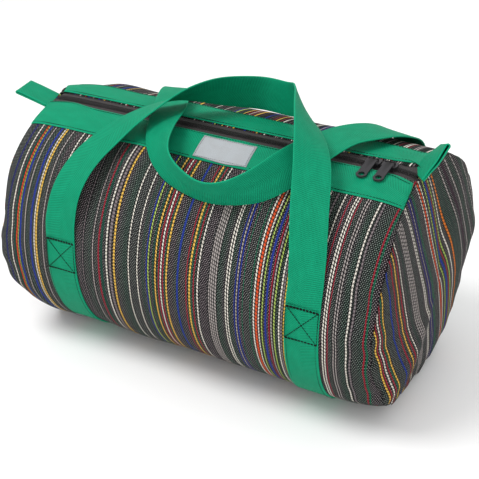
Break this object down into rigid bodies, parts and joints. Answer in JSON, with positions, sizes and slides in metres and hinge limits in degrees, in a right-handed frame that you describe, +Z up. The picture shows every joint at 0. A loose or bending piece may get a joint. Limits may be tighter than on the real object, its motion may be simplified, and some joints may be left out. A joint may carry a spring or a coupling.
{
  "type": "rope storage bag",
  "caption": "Soft drum-shaped duffel of striped woven cloth with a zip along the top, two webbing carry handles, webbing end loops and heavy zip pulls.",
  "frame": {"origin": "on the resting surface, under the middle of the whole part's bounding box, end loops included", "axes": "+X along the bag to its right end, +Z up, the front with the label faces -Y"},
  "size_m": [0.5172, 0.2998, 0.3115],
  "materials": {
    "striped_cloth": "coarse woven mesh cloth, charcoal with rows of coloured dashes",
    "webbing": "green ribbed webbing, slightly glossy",
    "zip_tape": "brown-black knitted tape",
    "zip_coil": "black nylon coil",
    "black_metal": "black enamel on zinc, satin",
    "label_cloth": "off-white woven label, blank",
    "binding": "black grosgrain",
    "thread": "black bonded nylon thread"
  },
  "bodies": {
    "bag": {"body_panel": "striped_cloth", "left_end_panel": "striped_cloth", "right_end_panel": "striped_cloth", "front_zip_facing": "webbing", "back_zip_facing": "webbing", "front_zip_tape": "zip_tape", "back_zip_tape": "zip_tape", "front_zip_coil": "zip_coil", "back_zip_coil": "zip_coil", "left_strap": "webbing", "right_strap": "webbing", "label": "label_cloth", "label_stitching": "thread", "left_seam_binding": "binding", "right_seam_binding": "binding", "front_left_box_stitching": "thread", "front_right_box_stitching": "thread", "back_left_box_stitching": "thread", "back_right_box_stitching": "thread", "front_facing_stitching": "thread", "back_facing_stitching": "thread", "left_strap_stitching": "thread", "right_strap_stitching": "thread"},
    "left_slider": {"left_slider_body": "black_metal", "left_slider_bail": "black_metal"},
    "right_slider": {"right_slider_body": "black_metal", "right_slider_bail": "black_metal"},
    "left_zip_pull": {"left_pull": "black_metal"},
    "right_zip_pull": {"right_pull": "black_metal"},
    "front_carry_handle": {"front_handle": "webbing"},
    "back_carry_handle": {"back_handle": "webbing"},
    "left_loop": {"left_end_loop": "webbing"},
    "right_loop": {"right_end_loop": "webbing"}
  },
  "joints": [
    {"name": "front_handle_swing", "type": "hinge", "parent": "bag", "child": "front_carry_handle", "pos_m": [0.0223, -0.14735, 0.1506], "axis": [1, 0, 0], "range_deg": [0, 150]},
    {"name": "back_handle_swing", "type": "hinge", "parent": "bag", "child": "back_carry_handle", "pos_m": [0.0223, 0.13171, 0.19733], "axis": [-1, 0, 0], "range_deg": [0, 75]},
    {"name": "left_slider_travel", "type": "slide", "parent": "bag", "child": "left_slider", "axis": [1, 0, 0], "range_m": [-0.36, 0]},
    {"name": "right_slider_travel", "type": "slide", "parent": "bag", "child": "right_slider", "axis": [1, 0, 0], "range_m": [0, 0.022]},
    {"name": "left_pull_swing", "type": "hinge", "parent": "left_slider", "child": "left_zip_pull", "pos_m": [0.1823, -0.02132, 0.26138], "axis": [-1, 0, 0], "range_deg": [0, 160]},
    {"name": "right_pull_swing", "type": "hinge", "parent": "right_slider", "child": "right_zip_pull", "pos_m": [0.2003, -0.02132, 0.26138], "axis": [-1, 0, 0], "range_deg": [0, 160]},
    {"name": "left_loop_bend", "type": "hinge", "parent": "bag", "child": "left_loop", "pos_m": [-0.2232, -0.021, 0.2475], "axis": [0, 1, 0], "range_deg": [-70, 60]},
    {"name": "right_loop_bend", "type": "hinge", "parent": "bag", "child": "right_loop", "pos_m": [0.2403, -0.012, 0.2585], "axis": [0, -1, 0], "range_deg": [-85, 25]}
  ],
  "couplings": [
    {"joint": "back_handle_swing", "follows": "front_handle_swing", "ratio": 0.5}
  ]
}
